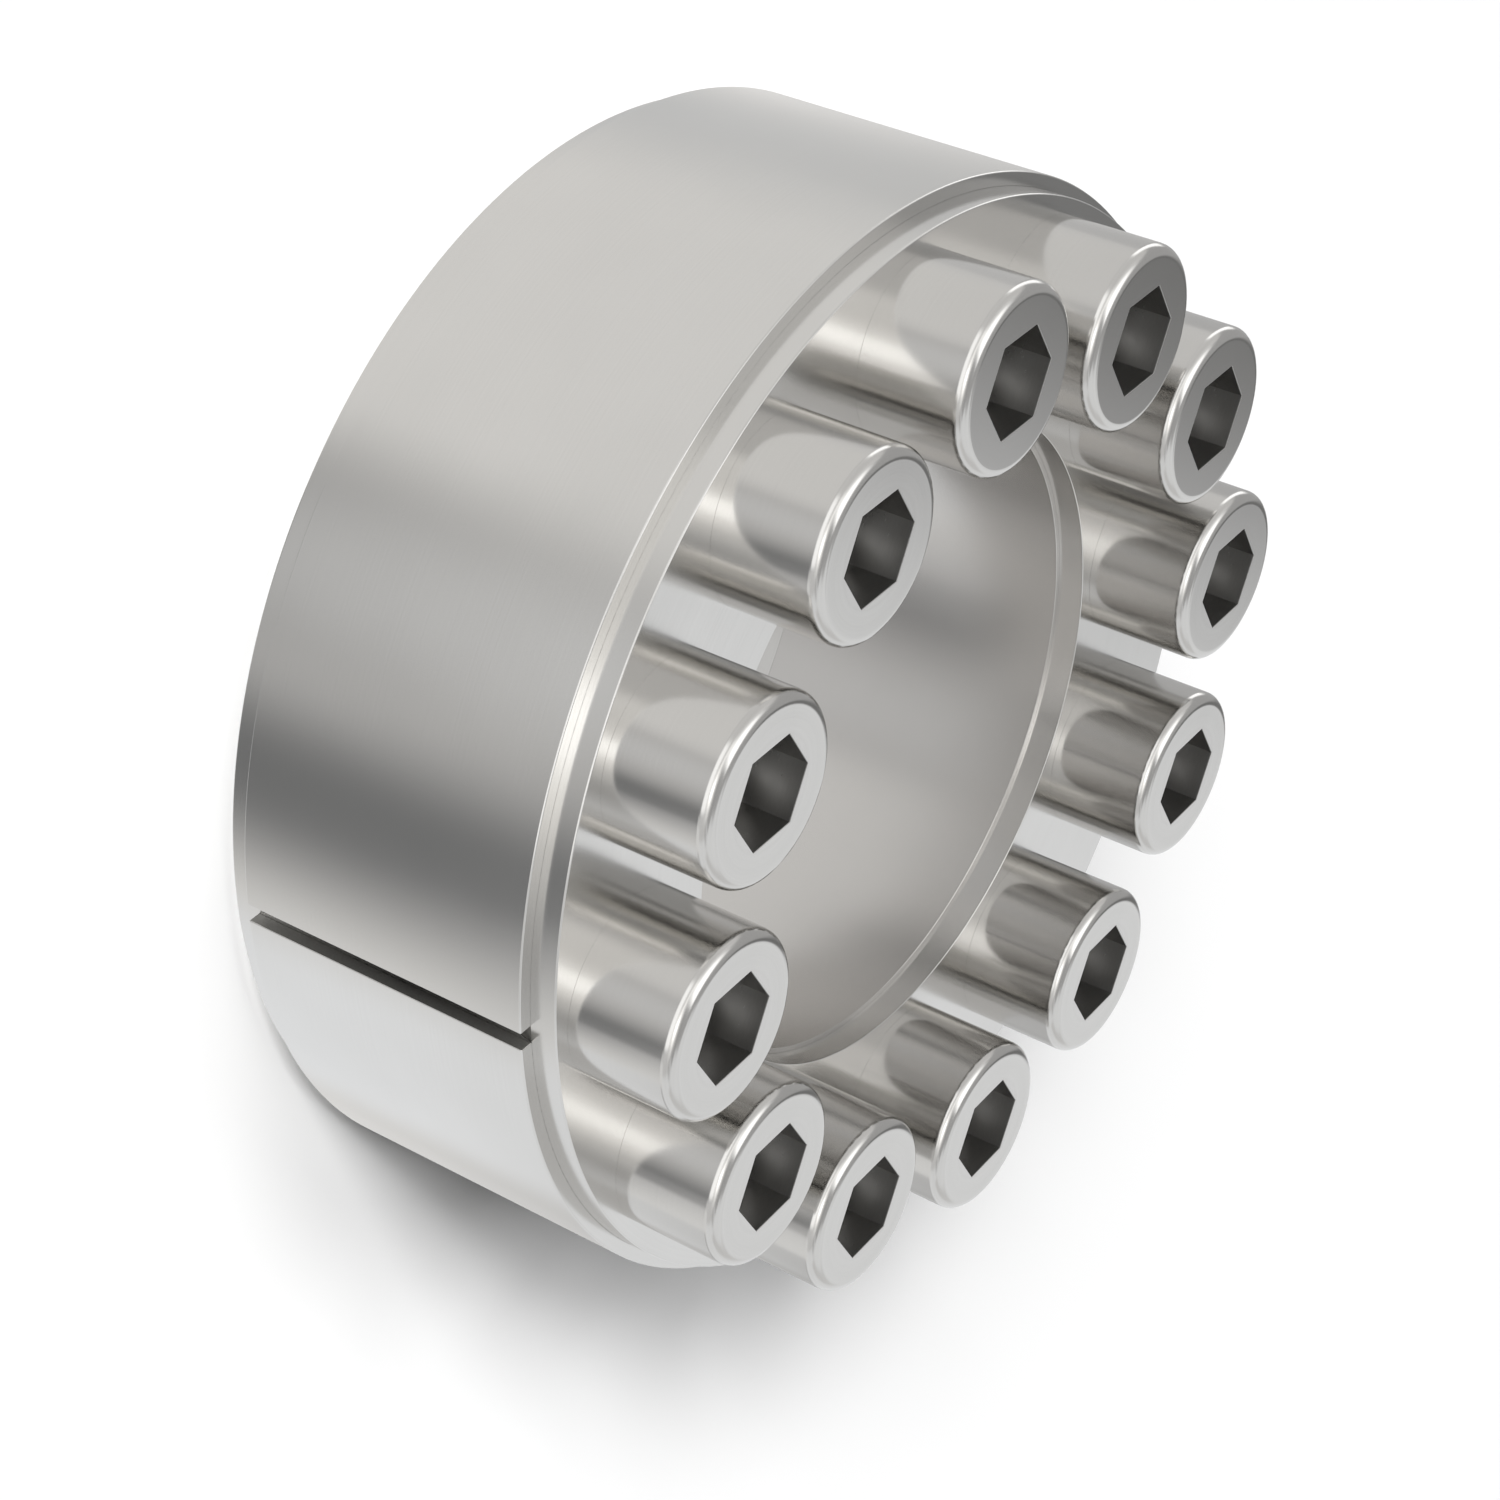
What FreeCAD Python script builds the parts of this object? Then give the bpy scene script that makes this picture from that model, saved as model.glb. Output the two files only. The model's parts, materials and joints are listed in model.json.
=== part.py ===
import FreeCAD, Part
import math
import os

import Sketcher

# Keyless locking assembly, 35 x 60 mm, in millimetres.
# The axis of the shaft is Z. The rear thrust ring stands on Z = 0 and the screw heads face up.
# The slits of the two clamping rings open towards -Y.

SCREW_COUNT = 12
OUT = "parts"

# Driving dimensions. Each one is set here once, and every shape reads it from the sheet.
SIZES = {
    "bore_diameter": (35.0, "shaft that the inner ring grips"),
    "section_height": (12.5, "radial height of the assembly, from the shaft to the hub bore"),
    "ring_length": (17.0, "axial length of the inner and the outer ring"),
    "thrust_span": (20.0, "from the back of the rear thrust ring to the front face"),
    "rim_step": (0.75, "radial step from the outer ring down to a thrust ring's rim"),
    "bore_step": (0.30, "radial step from the shaft bore up to a thrust ring's bore"),
    "nose_web": (0.60, "wall left on each side of a clearance hole at the nose of a thrust ring"),
    "nose_gap": (2.4, "axial gap between the noses of the two thrust rings"),
    "taper_clearance": (0.03, "radial clearance between the cones before tightening"),
    "slit_width": (1.0, "slit through the inner and the outer ring"),
    "edge_break": (0.12, "rounding of the turned outer edges"),
    "pitch_inset": (0.25, "how far the screw axes lie inside the middle of the section"),
    "thread_diameter": (6.0, "nominal size of the screws"),
    "thread_clearance": (0.04, "radial clearance of a screw in its threaded hole"),
    "hole_clearance": (0.30, "radial clearance of a screw in the front ring"),
    "hole_chamfer": (0.40, "countersink of the threaded holes at the back"),
    "screw_length": (18.0, "length of a screw under its head"),
    "tip_chamfer": (0.60, "chamfer at the tip of a screw"),
    "head_diameter": (9.85, "screw head"),
    "head_height": (6.0, "screw head"),
    "head_round": (0.50, "rounding of the head's top edge"),
    "socket_flats": (5.0, "hexagon socket across flats"),
    "socket_depth": (3.0, "depth of the hexagon's flats"),
    "socket_point": (1.4, "depth of the drilled cone below the flats"),
}

doc = FreeCAD.newDocument("KeylessLockingAssembly")


def fill_sheet():
    """Write the driving dimensions into the sheet, one row each, with an alias."""
    sheet = doc.addObject("Spreadsheet::Sheet", "Sizes")
    for row, (alias, (value, note)) in enumerate(SIZES.items(), start=1):
        sheet.set("A%d" % row, alias)
        sheet.set("B%d" % row, str(value))
        sheet.set("C%d" % row, note)
        sheet.setAlias("B%d" % row, alias)
    return sheet


sheet = fill_sheet()
doc.recompute()

# Lengths that several pieces share, as expressions on the sheet.
BORE = "Sizes.bore_diameter / 2"
THRUST_BORE = "(%s + Sizes.bore_step)" % BORE
OUTSIDE = "(%s + Sizes.section_height)" % BORE
RIM = "(%s - Sizes.rim_step)" % OUTSIDE
PROUD = "(Sizes.thrust_span - Sizes.ring_length) / 2"
TAPER_LENGTH = "(Sizes.ring_length - Sizes.nose_gap) / 2"
PITCH = "(%s + Sizes.section_height / 2 - Sizes.pitch_inset)" % BORE
THREAD = "Sizes.thread_diameter / 2"

# The nose of a thrust ring holds a screw hole between two webs. The cones rise from there to the
# rim and to the bore, about 14 degrees steep, so that they release by themselves.
NOSE_WALL = "(Sizes.thread_diameter + 2 * Sizes.hole_clearance + 2 * Sizes.nose_web)"
TAPER_RUN = "((%s - %s - %s) / 2)" % (RIM, THRUST_BORE, NOSE_WALL)


def number(expression):
    """The present value of an expression on the sheet."""
    value = sheet.evalExpression(expression)
    return float(getattr(value, "Value", value))


def new_body(name):
    """An empty body whose label is the name of its file."""
    body = doc.addObject("PartDesign::Body", name)
    body.Label = name
    return body


def new_sketch(body, name, role):
    """A sketch on one of the body's own origin planes."""
    plane = next(item for item in body.Origin.OriginFeatures if item.Role == role)
    sketch = body.newObject("Sketcher::SketchObject", name)
    sketch.AttachmentSupport = (plane, [""])
    sketch.MapMode = "FlatFace"
    return sketch


def bind_point(sketch, geometry, x_size, y_size):
    """Fix the start of a line at two expressions. A size of None lies on the sketch's axis."""
    for kind, axis, size in (("DistanceX", -2, x_size), ("DistanceY", -1, y_size)):
        if size is None:
            sketch.addConstraint(Sketcher.Constraint("PointOnObject", geometry, 1, axis))
            continue
        index = sketch.addConstraint(Sketcher.Constraint(kind, -1, 1, geometry, 1, number(size)))
        sketch.setExpression("Constraints[%d]" % index, size)


def closed_outline(sketch, corners):
    """Straight lines through the corners, each corner tied to the sheet."""
    points = []
    for x_size, y_size in corners:
        x = number(x_size) if x_size else 0.0
        y = number(y_size) if y_size else 0.0
        points.append(FreeCAD.Vector(x, y, 0))
    first = None
    for start, end in zip(points, points[1:] + points[:1]):
        line = sketch.addGeometry(Part.LineSegment(start, end), False)
        first = line if first is None else first
        if line != first:
            sketch.addConstraint(Sketcher.Constraint("Coincident", line - 1, 2, line, 1))
    sketch.addConstraint(Sketcher.Constraint("Coincident", line, 2, first, 1))
    for offset, (x_size, y_size) in enumerate(corners):
        bind_point(sketch, first + offset, x_size, y_size)


def revolve(body, name, corners):
    """Turn an outline of (radius, height) corners about the body's Z axis."""
    sketch = new_sketch(body, name + "Outline", "XZ_Plane")
    closed_outline(sketch, corners)
    feature = body.newObject("PartDesign::Revolution", name)
    feature.Profile = sketch
    feature.ReferenceAxis = (sketch, ["V_Axis"])
    feature.Angle = 360
    doc.recompute()
    return feature


def round_edges(body, name, base, places, size):
    """Round the full circles of a feature that lie at the given (radius, height) places."""
    wanted = [(number(radius), number(height)) for radius, height in places]
    edges = []
    for index, edge in enumerate(base.Shape.Edges, start=1):
        if not isinstance(edge.Curve, Part.Circle) or not edge.isClosed():
            continue
        found = (edge.Curve.Radius, edge.Curve.Center.z)
        if any(math.dist(found, place) < 1e-4 for place in wanted):
            edges.append("Edge%d" % index)
    if len(edges) != len(wanted):
        raise RuntimeError("%s: an edge to round is missing" % name)
    fillet = body.newObject("PartDesign::Fillet", name)
    fillet.Base = (base, edges)
    fillet.setExpression("Radius", size)
    doc.recompute()
    return fillet


def cut(body, name, sketch, length=None):
    """Cut a sketch through the body both ways, or down from the sketch by a length."""
    before = body.Shape.Volume
    pocket = body.newObject("PartDesign::Pocket", name)
    pocket.Profile = sketch
    if length is None:
        pocket.Type = "ThroughAll"
        pocket.Midplane = True
    else:
        pocket.setExpression("Length", length)
    doc.recompute()
    if body.Shape.Volume >= before:
        raise RuntimeError("%s removed nothing" % name)
    return pocket


def cut_slit(body):
    """One slit right through the wall of a ring, on its -Y side."""
    sketch = new_sketch(body, "SlitOutline", "XY_Plane")
    left = "-Sizes.slit_width / 2"
    right = "Sizes.slit_width / 2"
    beyond = "-2 * %s" % OUTSIDE
    closed_outline(sketch, [(left, None), (right, None), (right, beyond), (left, beyond)])
    return cut(body, "Slit", sketch)


def repeat_round(body, features):
    """Repeat features on the circle of the screws."""
    pattern = body.newObject("PartDesign::PolarPattern", "ScrewCircle")
    axis = next(item for item in body.Origin.OriginFeatures if item.Role == "Z_Axis")
    pattern.Originals = features
    pattern.Axis = (axis, [""])
    pattern.Angle = 360
    pattern.Occurrences = SCREW_COUNT
    body.Tip = pattern
    doc.recompute()
    return pattern


def make_outer_ring():
    """Slit ring that fills the hub: plain outside, two cones inside that meet in a land."""
    body = new_body("outer_ring")
    mouth = "%s + Sizes.taper_clearance" % RIM
    land = "%s - %s + Sizes.taper_clearance" % (RIM, TAPER_RUN)
    half = "Sizes.ring_length / 2"
    half_land = "Sizes.nose_gap / 2"
    turned = revolve(body, "Ring", [
        (OUTSIDE, "-" + half),
        (OUTSIDE, half),
        (mouth, half),
        (land, half_land),
        (land, "-" + half_land),
        (mouth, "-" + half),
    ])
    ends = [(OUTSIDE, half), (OUTSIDE, "-" + half)]
    round_edges(body, "EdgeBreak", turned, ends, "Sizes.edge_break")
    cut_slit(body)
    body.setExpression("Placement.Base.z", "Sizes.thrust_span / 2")
    return body


def make_inner_ring():
    """Slit ring that grips the shaft: plain bore, two cones outside that meet in a land."""
    body = new_body("inner_ring")
    mouth = "%s - Sizes.taper_clearance" % THRUST_BORE
    land = "%s + %s - Sizes.taper_clearance" % (THRUST_BORE, TAPER_RUN)
    half = "Sizes.ring_length / 2"
    half_land = "Sizes.nose_gap / 2"
    revolve(body, "Ring", [
        (BORE, "-" + half),
        (mouth, "-" + half),
        (land, "-" + half_land),
        (land, half_land),
        (mouth, half),
        (BORE, half),
    ])
    cut_slit(body)
    body.setExpression("Placement.Base.z", "Sizes.thrust_span / 2")
    return body


def turn_thrust_ring(body):
    """Wedge ring: a rim that stands proud, and a nose with a cone outside and inside.

    The flat face lies on the body's own Z = 0 and the nose points down.
    """
    shoulder = "-" + PROUD
    nose = "-%s - %s" % (PROUD, TAPER_LENGTH)
    turned = revolve(body, "Wedge", [
        (THRUST_BORE, None),
        (THRUST_BORE, shoulder),
        ("%s + %s" % (THRUST_BORE, TAPER_RUN), nose),
        ("%s - %s" % (RIM, TAPER_RUN), nose),
        (RIM, shoulder),
        (RIM, None),
    ])
    face = [(THRUST_BORE, "0"), (RIM, "0")]
    return round_edges(body, "EdgeBreak", turned, face, "Sizes.edge_break")


def hole_sketch(body, name, radius):
    """A circle on the pitch circle, on the body's own +X side."""
    sketch = new_sketch(body, name, "XY_Plane")
    centre = FreeCAD.Vector(number(PITCH), 0, 0)
    circle = sketch.addGeometry(Part.Circle(centre, FreeCAD.Vector(0, 0, 1), number(radius)), False)
    sketch.addConstraint(Sketcher.Constraint("PointOnObject", circle, 3, -1))
    place = Sketcher.Constraint("DistanceX", -1, 1, circle, 3, number(PITCH))
    sketch.setExpression("Constraints[%d]" % sketch.addConstraint(place), PITCH)
    size = Sketcher.Constraint("Radius", circle, number(radius))
    sketch.setExpression("Constraints[%d]" % sketch.addConstraint(size), radius)
    return sketch


def countersink(body, radius):
    """A cone that opens one hole towards the flat face, turned about the hole's own axis."""
    before = body.Shape.Volume
    sketch = new_sketch(body, "CountersinkOutline", "XZ_Plane")
    wide = "%s + %s + Sizes.hole_chamfer" % (PITCH, radius)
    narrow = "%s + %s" % (PITCH, radius)
    closed_outline(sketch, [
        (PITCH, None),
        (wide, None),
        (narrow, "-Sizes.hole_chamfer"),
        (PITCH, "-Sizes.hole_chamfer"),
    ])
    groove = body.newObject("PartDesign::Groove", "Countersink")
    groove.Profile = sketch
    groove.ReferenceAxis = (sketch, ["Edge4"])
    groove.Angle = 360
    doc.recompute()
    if body.Shape.Volume >= before:
        raise RuntimeError("the countersink removed nothing")
    return groove


def make_front_thrust_ring():
    """Thrust ring under the screw heads, with plain clearance holes."""
    body = new_body("front_thrust_ring")
    turn_thrust_ring(body)
    radius = "%s + Sizes.hole_clearance" % THREAD
    hole = cut(body, "ClearanceHole", hole_sketch(body, "ClearanceHoleOutline", radius))
    repeat_round(body, [hole])
    body.setExpression("Placement.Base.z", "Sizes.thrust_span")
    return body


def make_rear_thrust_ring():
    """Thrust ring that the screws pull on. It is turned over, so that its face is the back."""
    body = new_body("rear_thrust_ring")
    turn_thrust_ring(body)
    radius = "%s + Sizes.thread_clearance" % THREAD
    hole = cut(body, "ThreadedHole", hole_sketch(body, "ThreadedHoleOutline", radius))
    sink = countersink(body, radius)
    repeat_round(body, [hole, sink])
    body.Placement = FreeCAD.Placement(
        FreeCAD.Vector(0, 0, 0), FreeCAD.Rotation(FreeCAD.Vector(1, 0, 0), 180)
    )
    return body


def make_screw(number_in_circle):
    """Socket head cap screw. Its seat is the body's own Z = 0 and its head points up.

    The screws are moved round the circle but not turned, so all the sockets face one way.
    """
    body = new_body("screw_%02d" % number_in_circle)
    head = "Sizes.head_diameter / 2"
    tip = "%s - Sizes.tip_chamfer" % THREAD
    turned = revolve(body, "Blank", [
        (None, "Sizes.head_height"),
        (head, "Sizes.head_height"),
        (head, None),
        (THREAD, None),
        (THREAD, "-Sizes.screw_length + Sizes.tip_chamfer"),
        (tip, "-Sizes.screw_length"),
        (None, "-Sizes.screw_length"),
    ])
    crown = [(head, "Sizes.head_height")]
    round_edges(body, "HeadRound", turned, crown, "Sizes.head_round")

    hexagon = new_sketch(body, "SocketOutline", "XY_Plane")
    hexagon.setExpression("AttachmentOffset.Base.z", "Sizes.head_height")
    flat = "Sizes.socket_flats / 2"
    corner = "Sizes.socket_flats / sqrt(3)"
    shoulder = "Sizes.socket_flats / sqrt(12)"
    closed_outline(hexagon, [
        (None, corner),
        (flat, shoulder),
        (flat, "-" + shoulder),
        (None, "-" + corner),
        ("-" + flat, "-" + shoulder),
        ("-" + flat, shoulder),
    ])
    cut(body, "Socket", hexagon, "Sizes.socket_depth")

    before = body.Shape.Volume
    drill = new_sketch(body, "DrillPointOutline", "XZ_Plane")
    floor = "Sizes.head_height - Sizes.socket_depth"
    closed_outline(drill, [
        (None, floor),
        (flat, floor),
        (None, "%s - Sizes.socket_point" % floor),
    ])
    point = body.newObject("PartDesign::Groove", "DrillPoint")
    point.Profile = drill
    point.ReferenceAxis = (drill, ["V_Axis"])
    point.Angle = 360
    doc.recompute()
    if body.Shape.Volume >= before:
        raise RuntimeError("the drill point removed nothing")

    turn = "(%d * 360 deg / %d)" % (number_in_circle - 1, SCREW_COUNT)
    body.setExpression("Placement.Base.x", "%s * cos%s" % (PITCH, turn))
    body.setExpression("Placement.Base.y", "%s * sin%s" % (PITCH, turn))
    body.setExpression("Placement.Base.z", "Sizes.thrust_span")
    return body


def check(bodies):
    """Stop before anything is written if a feature failed or a piece is not one sound solid."""
    for item in doc.Objects:
        if "Invalid" in item.State or "Error" in item.State:
            raise RuntimeError("%s failed: %s" % (item.Label, item.State))
    for body in bodies:
        shape = body.Shape
        if shape.isNull() or not shape.isValid() or len(shape.Solids) != 1:
            raise RuntimeError("%s is not one valid solid" % body.Label)


def main():
    """Build every piece, check them all, and write one file for each."""
    bodies = [
        make_rear_thrust_ring(),
        make_outer_ring(),
        make_inner_ring(),
        make_front_thrust_ring(),
    ]
    bodies += [make_screw(index) for index in range(1, SCREW_COUNT + 1)]
    doc.recompute()
    check(bodies)
    os.makedirs(OUT, exist_ok=True)
    for body in bodies:
        body.Shape.exportStep(os.path.join(OUT, body.Label + ".step"))
        print("%-18s %9.2f mm3" % (body.Label, body.Shape.Volume))


main()
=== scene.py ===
import json
import math

import bpy
import numpy as np
from bpy.props import FloatProperty, FloatVectorProperty, IntProperty, PointerProperty
from bpy.types import Operator, Panel, PropertyGroup
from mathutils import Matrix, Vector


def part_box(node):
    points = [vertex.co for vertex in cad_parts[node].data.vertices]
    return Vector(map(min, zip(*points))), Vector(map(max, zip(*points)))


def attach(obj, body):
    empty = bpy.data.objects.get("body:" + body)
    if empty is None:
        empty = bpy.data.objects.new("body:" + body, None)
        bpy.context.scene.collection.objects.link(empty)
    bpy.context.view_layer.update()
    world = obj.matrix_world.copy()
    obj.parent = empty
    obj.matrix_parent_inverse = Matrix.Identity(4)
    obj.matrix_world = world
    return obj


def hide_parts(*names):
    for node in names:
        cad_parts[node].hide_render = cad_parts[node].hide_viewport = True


bl_info = {
    "name": "Keyless locking assembly",
    "version": (1, 0, 0),
    "blender": (4, 5, 0),
    "location": "3D View > Sidebar > Locking assembly",
    "description": "Dresses a double-taper locking assembly: slit rings, thrust rings, screws and studio",
    "category": "Add Mesh",
}

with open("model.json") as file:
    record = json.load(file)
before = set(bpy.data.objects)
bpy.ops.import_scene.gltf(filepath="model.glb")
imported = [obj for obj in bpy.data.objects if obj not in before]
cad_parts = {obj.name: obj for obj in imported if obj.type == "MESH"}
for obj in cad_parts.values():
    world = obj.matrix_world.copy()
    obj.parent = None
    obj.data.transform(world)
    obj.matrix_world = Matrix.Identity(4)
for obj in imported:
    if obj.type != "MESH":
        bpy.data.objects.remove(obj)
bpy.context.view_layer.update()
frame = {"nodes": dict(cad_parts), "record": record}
MM = 0.001
CREST_HALF = 1 / 16  # half the flat crest of a 60 degree thread, in pitches
THREAD_DROP = 0.6134  # from crest to root of an outside thread, in pitches
THREAD_BITE = 0.541  # the same for an inside thread
THREAD_RUN_OUT = 1.2  # fall of the thread's depth for each millimetre from the neck
WELD = 1e-4 * MM  # points closer than this become one
NO_AREA = 1e-13  # square metres under which a cell has no facing of its own
BLUE_FALL = 1.4  # how far a card's blue falls for each part by which warmth raises its red
FLOOR_HALF = 3.0
SCREWS = sorted(name for name in frame["nodes"] if name.startswith("screw_"))


def mount(name):
    """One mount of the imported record, by its name."""
    return next(m for m in frame["record"]["mounts"] if m["name"] == name)


def reach(node):
    """Outside radius about the shaft axis, lowest and highest point of a turned CAD node."""
    low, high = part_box(node)
    return max(high.x, -low.x), low.z, high.z


OUTER_R, RING_LOW, RING_HIGH = reach("outer_ring")
RIM_R, NOSE_LOW, FACE_Z = reach("front_thrust_ring")
REAR_TOP = reach("rear_thrust_ring")[2]
BORE_R = mount("shaft_bore")["dims"]["r_mm"] * MM
SCREW_LOW, SCREW_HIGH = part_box(SCREWS[0])
HEAD_R = (SCREW_HIGH.y - SCREW_LOW.y) / 2
PITCH_R = (SCREW_HIGH.x + SCREW_LOW.x) / 2


class RingSizes(PropertyGroup):
    """The sizes of the four turned rings."""

    outer_radius: FloatProperty(name="Outside radius", description="Outside of the slit outer ring",
                                default=OUTER_R, unit="LENGTH")
    bore_radius: FloatProperty(name="Bore radius", description="Bore of the slit inner ring",
                               default=BORE_R, unit="LENGTH")
    mouth_wall: FloatProperty(name="Outer mouth wall", description="Width of the outer ring's end faces",
                              default=0.745 * MM, unit="LENGTH")
    inner_mouth_wall: FloatProperty(name="Inner mouth wall",
                                    description="Width of the inner ring's end faces",
                                    default=0.295 * MM, unit="LENGTH")
    land_radius: FloatProperty(name="Outer ring land", description="Radius where the outer ring's cones meet",
                               default=OUTER_R - 2.545 * MM, unit="LENGTH")
    rim_radius: FloatProperty(name="Rim radius", description="Outside of the thrust rings",
                              default=RIM_R, unit="LENGTH")
    thrust_bore: FloatProperty(name="Thrust ring bore", description="Bore radius of the thrust rings",
                               default=BORE_R + 0.30 * MM, unit="LENGTH")
    taper_run: FloatProperty(name="Taper run", description="How far each cone closes in over its length",
                             default=1.825 * MM, unit="LENGTH")
    slit: FloatProperty(name="Slit width", description="Width of the slit in both clamping rings",
                        default=1.0 * MM, unit="LENGTH")
    edge: FloatProperty(name="Edge rounding", description="Rounding of the turned outside edges",
                        default=0.05 * MM, unit="LENGTH")
    bevel_rise: FloatProperty(name="Bevel height", description="Height of the fine bevel on the front edges",
                              default=0.075 * MM, unit="LENGTH")
    bevel_width: FloatProperty(name="Bevel width", description="Width of the fine bevel on the front edges",
                               default=0.035 * MM, unit="LENGTH")
    lip: FloatProperty(name="Lip rounding", description="Rounding of the fine inner edges",
                       default=0.04 * MM, unit="LENGTH")
    hole_radius: FloatProperty(name="Clearance hole", description="Radius of the front ring's screw holes",
                               default=3.3 * MM, unit="LENGTH")
    countersink: FloatProperty(name="Countersink",
                               description="Countersink of the threaded holes at the back",
                               default=0.40 * MM, unit="LENGTH")
    nose_bevel: FloatProperty(name="Nose bevel", description="Bevel of the threaded holes in the nose",
                              default=0.05 * MM, unit="LENGTH")
    columns: IntProperty(name="Columns per screw", description="Facets of a ring between two screws",
                         default=20, min=8, max=40)


class ScrewSizes(PropertyGroup):
    """The sizes of the socket head cap screws."""

    head_radius: FloatProperty(name="Head radius", description="Outside of a screw head", default=HEAD_R,
                               unit="LENGTH")
    head_round: FloatProperty(name="Head rounding", description="Rounding of the head's top edge",
                              default=0.65 * MM, unit="LENGTH")
    thread_radius: FloatProperty(name="Thread radius",
                                 description="Half the outside diameter of the M6 thread",
                                 default=3.0 * MM, unit="LENGTH")
    pitch: FloatProperty(name="Thread pitch", description="Rise of the thread in one turn", default=1.0 * MM,
                         unit="LENGTH")
    play: FloatProperty(name="Thread play", description="Radial play between screw and rear ring",
                        default=0.06 * MM, unit="LENGTH")
    key: FloatProperty(name="Key size", description="Width across the flats of the socket", default=5.0 * MM,
                       unit="LENGTH")
    key_depth: FloatProperty(name="Socket depth", description="Depth of the socket's flats", default=3.0 * MM,
                             unit="LENGTH")
    key_point: FloatProperty(name="Drill point", description="Depth of the drill point under the flats",
                             default=1.4 * MM, unit="LENGTH")
    key_ledge: FloatProperty(name="Ledge", description="Ledge between the flats and the drill point",
                             default=0.05 * MM, unit="LENGTH")
    key_bevel: FloatProperty(name="Socket bevel", description="Bevel round the socket's mouth",
                             default=0.03 * MM, unit="LENGTH")
    fillet: FloatProperty(name="Fillet", description="Fillet between shank and head", default=0.25 * MM,
                          unit="LENGTH")
    neck: FloatProperty(name="Neck", description="Plain shank between head and thread", default=1.3 * MM,
                        unit="LENGTH")
    tip_inset: FloatProperty(name="Tip inset",
                             description="How far the flat tip lies inside the thread's root",
                             default=0.01 * MM, unit="LENGTH")
    seat_edge: FloatProperty(name="Seat edge", description="Rounding of the head's lower edge",
                             default=0.01 * MM, unit="LENGTH")
    columns: IntProperty(name="Columns", description="Facets round a screw, a multiple of 12", default=72,
                         min=24, max=96)


class SteelLook(PropertyGroup):
    """The colour and polish of the bare steel, and the darker colours that paint the shade in the socket, the
    slit and the bore.
    """

    tone: FloatVectorProperty(name="Steel", description="Colour of the polished steel", subtype="COLOR",
                              default=(0.715, 0.707, 0.69), min=0, max=1)
    worn_tone: FloatVectorProperty(name="Steel, duller", description="Colour in the finer turning marks",
                                   subtype="COLOR", default=(0.692, 0.684, 0.667), min=0, max=1)
    polish: FloatProperty(name="Roughness, polished", description="Roughness of the best polished places",
                          default=0.16, min=0, max=1)
    dull: FloatProperty(name="Roughness, duller", description="Roughness in the turning marks", default=0.19,
                        min=0, max=1)
    screw_tone: FloatVectorProperty(name="Screws", description="Colour of the screws' steel", subtype="COLOR",
                                    default=(0.671, 0.661, 0.642), min=0, max=1)
    screw_tone_worn: FloatVectorProperty(name="Screws, duller",
                                         description="Colour in the screws' finer marks",
                                         subtype="COLOR", default=(0.646, 0.636, 0.617), min=0, max=1)
    # The bore's roughness is the honed finish; its slightly darker colours paint the shade inside the bore.
    bore_tone: FloatVectorProperty(name="Bore", description="Colour of the honed bore", subtype="COLOR",
                                   default=(0.668, 0.655, 0.637), min=0, max=1)
    bore_tone_worn: FloatVectorProperty(name="Bore, duller", description="Colour in the bore's finer marks",
                                        subtype="COLOR", default=(0.663, 0.65, 0.632), min=0, max=1)
    bore_polish: FloatProperty(name="Roughness, bore",
                               description="Roughness of the honed bore", default=0.24,
                               min=0, max=1)
    bore_dull: FloatProperty(name="Roughness, bore's marks",
                             description="Roughness in the bore's finer marks",
                             default=0.26, min=0, max=1)
    # The socket's colours are darker than the screw steel: painted shade in the socket's recess. Its
    # roughness is the broached finish.
    socket_painted_shade: FloatVectorProperty(name="Socket",
                                     description="Colour of the broached socket", subtype="COLOR",
                                     default=(0.42, 0.415, 0.405), min=0, max=1)
    socket_painted_shade_streaked: FloatVectorProperty(name="Socket, duller", description="Darker streaks in the socket",
                                          subtype="COLOR", default=(0.39, 0.385, 0.375), min=0, max=1)
    socket_polish: FloatProperty(name="Roughness, socket", description="Roughness of the broached socket",
                                 default=0.26, min=0, max=1)
    socket_dull: FloatProperty(name="Roughness, socket's streaks",
                               description="Roughness in the socket's streaks",
                               default=0.36, min=0, max=1)
    # The slit walls' colours are darker than the steel: painted shade in the narrow slit. Their roughness is
    # the sawn finish.
    slit_painted_shade: FloatVectorProperty(name="Slit", description="Colour of the sawn slit walls", subtype="COLOR",
                                   default=(0.44, 0.435, 0.42), min=0, max=1)
    slit_painted_shade_marked: FloatVectorProperty(name="Slit, duller", description="Darker saw marks", subtype="COLOR",
                                        default=(0.37, 0.365, 0.35), min=0, max=1)
    sawn_polish: FloatProperty(name="Roughness, slit", description="Roughness of the sawn slit walls",
                               default=0.5, min=0, max=1)
    sawn_dull: FloatProperty(name="Roughness, saw marks",
                             description="Roughness in the saw marks", default=0.56,
                             min=0, max=1)
    groove: FloatProperty(name="Turning marks", description="Spacing of the fine turning marks",
                          default=0.12 * MM, unit="LENGTH")
    cloud: FloatProperty(name="Wear", description="Size of the faint worn patches", default=6.25 * MM,
                         unit="LENGTH")


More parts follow.
